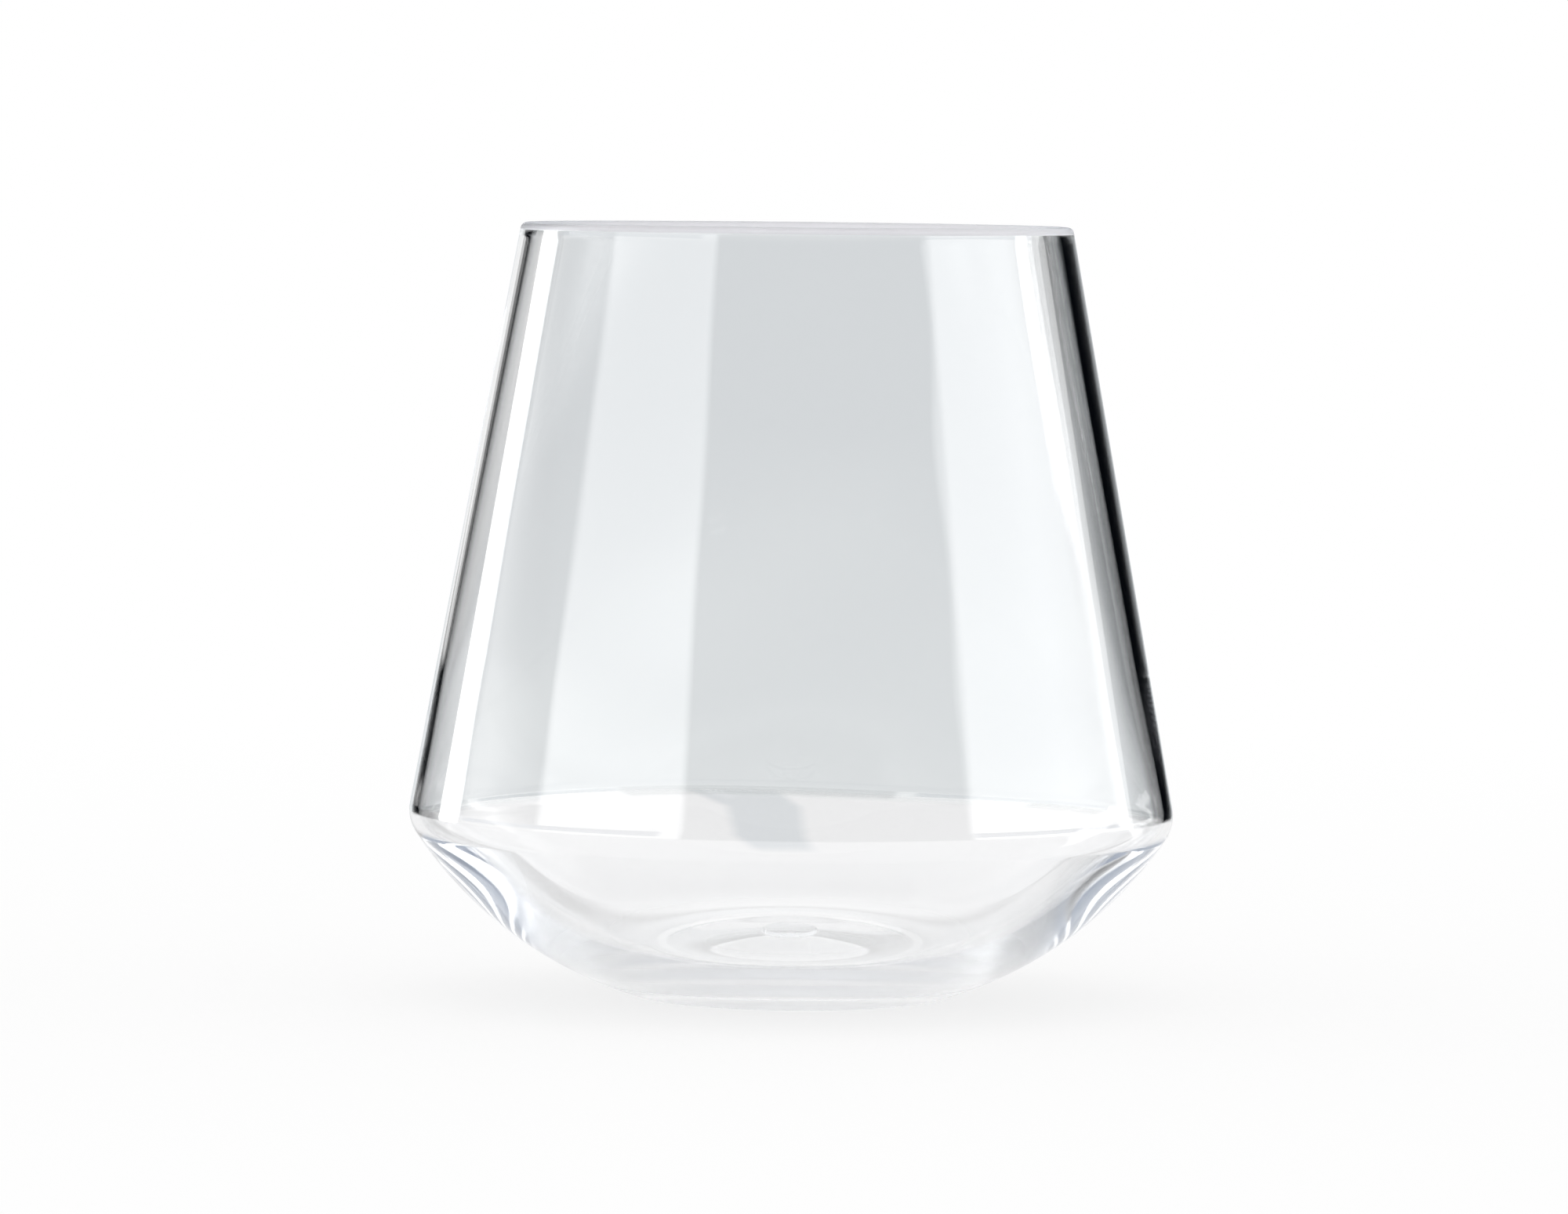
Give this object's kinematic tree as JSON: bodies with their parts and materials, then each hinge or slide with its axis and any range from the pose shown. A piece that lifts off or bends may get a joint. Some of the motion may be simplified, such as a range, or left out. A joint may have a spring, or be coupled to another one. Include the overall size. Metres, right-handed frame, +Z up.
{
  "type": "stemless wine glass",
  "caption": "Clear stemless wine tumbler: a straight wall narrows to a rounded rim above a rounded shoulder and a shallow bowl that thickens towards its base.",
  "frame": {"origin": "centre of the plane that the standing ring rests on, on the axis of revolution", "axes": "+Z up along the axis of revolution, towards the mouth; X and Y are any two square directions, and the picture looks along +Y"},
  "size_m": [0.096, 0.096, 0.0972],
  "materials": {
    "clear_plastic": "clear and colourless, glossy inside and out, the rounded rim and the foot softly frosted"
  },
  "bodies": {
    "root": {"tumbler": "clear_plastic"}
  },
  "joints": []
}
